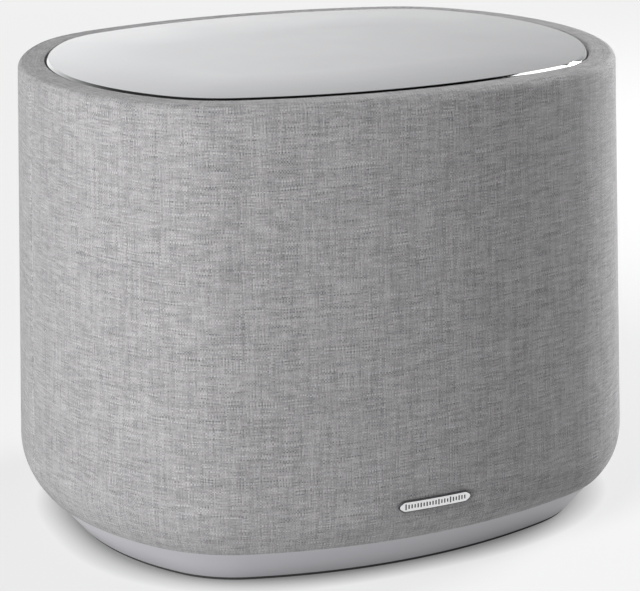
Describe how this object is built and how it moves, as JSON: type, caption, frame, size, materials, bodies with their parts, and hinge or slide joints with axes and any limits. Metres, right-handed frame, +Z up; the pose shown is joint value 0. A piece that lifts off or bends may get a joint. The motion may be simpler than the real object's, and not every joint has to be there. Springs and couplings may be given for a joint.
{
  "type": "smart speaker subwoofer",
  "caption": "Free-standing wireless bass speaker: cloth-covered cabinet with rounded plan, glossy top plate, drawn-in base and a small metal badge.",
  "frame": {"origin": "centre of the footprint, on the floor", "axes": "+Z up, the front faces -Y, +X is to the right of a viewer in front"},
  "size_m": [0.3392, 0.2854, 0.254],
  "materials": {
    "plate_lacquer": "smooth silver-grey lacquer, satin gloss, polished bevel",
    "cover_cloth": "heathered grey melange weave",
    "base_grey": "grey moulded plastic, soft satin",
    "black_plastic": "black moulded plastic, fine texture",
    "dark_rubber": "soft black rubber",
    "badge_metal": "brushed, polished edge",
    "zinc_steel": "zinc plated",
    "black_steel": "black oxide",
    "cast_basket": "black powder coat",
    "ferrite": "sintered ferrite",
    "cone_paper": "pressed pulp",
    "coil_copper": "enamelled copper wire",
    "spider_cloth": "resin-treated cotton",
    "wadding": "polyester wadding",
    "circuit_board": "green solder mask",
    "heat_sink_metal": "extruded, anodised",
    "winding": "taped winding on a laminated core",
    "contact_brass": "nickel plated brass",
    "lead_jacket": "soft jacket",
    "lens_clear": "clear light guide"
  },
  "bodies": {
    "cabinet": {"top_plate": "plate_lacquer", "plate_adhesive": "dark_rubber", "top_frame": "black_plastic", "top_screws": "zinc_steel", "fabric_front": "cover_cloth", "fabric_rear": "cover_cloth", "grille_front": "black_plastic", "grille_rear": "black_plastic", "badge_plate": "badge_metal", "badge_tray": "black_plastic", "badge_nuts": "zinc_steel", "base_skirt": "base_grey", "base_plate": "black_plastic", "foot_ring": "dark_rubber", "skirt_screws": "black_steel", "support_pillars": "black_plastic", "pillar_screws": "zinc_steel", "enclosure_tub": "black_plastic", "lid_gasket": "dark_rubber", "enclosure_lid": "black_plastic", "lid_screws": "zinc_steel", "braces": "black_plastic", "damping_pads": "wadding", "driver_basket": "cast_basket", "driver_gasket": "dark_rubber", "driver_screws": "black_steel", "terminal_strip": "black_plastic", "tinsel_leads": "coil_copper", "surround": "dark_rubber", "spider": "spider_cloth", "front_pole_plate": "zinc_steel", "magnet_ring": "ferrite", "back_pole_plate": "zinc_steel", "amplifier_board": "circuit_board", "power_board": "circuit_board", "wireless_module": "circuit_board", "heat_sink": "heat_sink_metal", "inductors": "coil_copper", "capacitors": "black_plastic", "transformer": "winding", "board_standoffs": "contact_brass", "board_screws": "zinc_steel", "lead_grommets": "dark_rubber", "mains_lead": "lead_jacket", "driver_lead": "lead_jacket", "connection_panel": "black_plastic", "panel_gasket": "dark_rubber", "rear_bezel": "base_grey", "panel_screws": "black_steel", "mains_inlet": "black_plastic", "inlet_pins": "contact_brass", "service_port": "contact_brass", "status_lens": "lens_clear", "button_board": "circuit_board"},
    "cone_assembly": {"cone": "cone_paper", "dust_cap": "cone_paper", "coil_former": "winding", "voice_coil": "coil_copper"},
    "power_button_body": {"power_button": "base_grey"},
    "pair_button_body": {"pair_button": "base_grey"}
  },
  "joints": [
    {"name": "cone_travel", "type": "slide", "parent": "cabinet", "child": "cone_assembly", "axis": [0, 0, 1], "range_m": [-0.008, 0.008], "stiffness_N_per_m": 3500, "deforming": ["surround", "spider", "tinsel_leads"]},
    {"name": "power_press", "type": "slide", "parent": "cabinet", "child": "power_button_body", "axis": [0, -1, 0], "range_m": [0, 0.0012], "stiffness_N_per_m": 700, "springref_m": -0.0015},
    {"name": "pair_press", "type": "slide", "parent": "cabinet", "child": "pair_button_body", "axis": [0, -1, 0], "range_m": [0, 0.0012], "stiffness_N_per_m": 700, "springref_m": -0.0015}
  ]
}
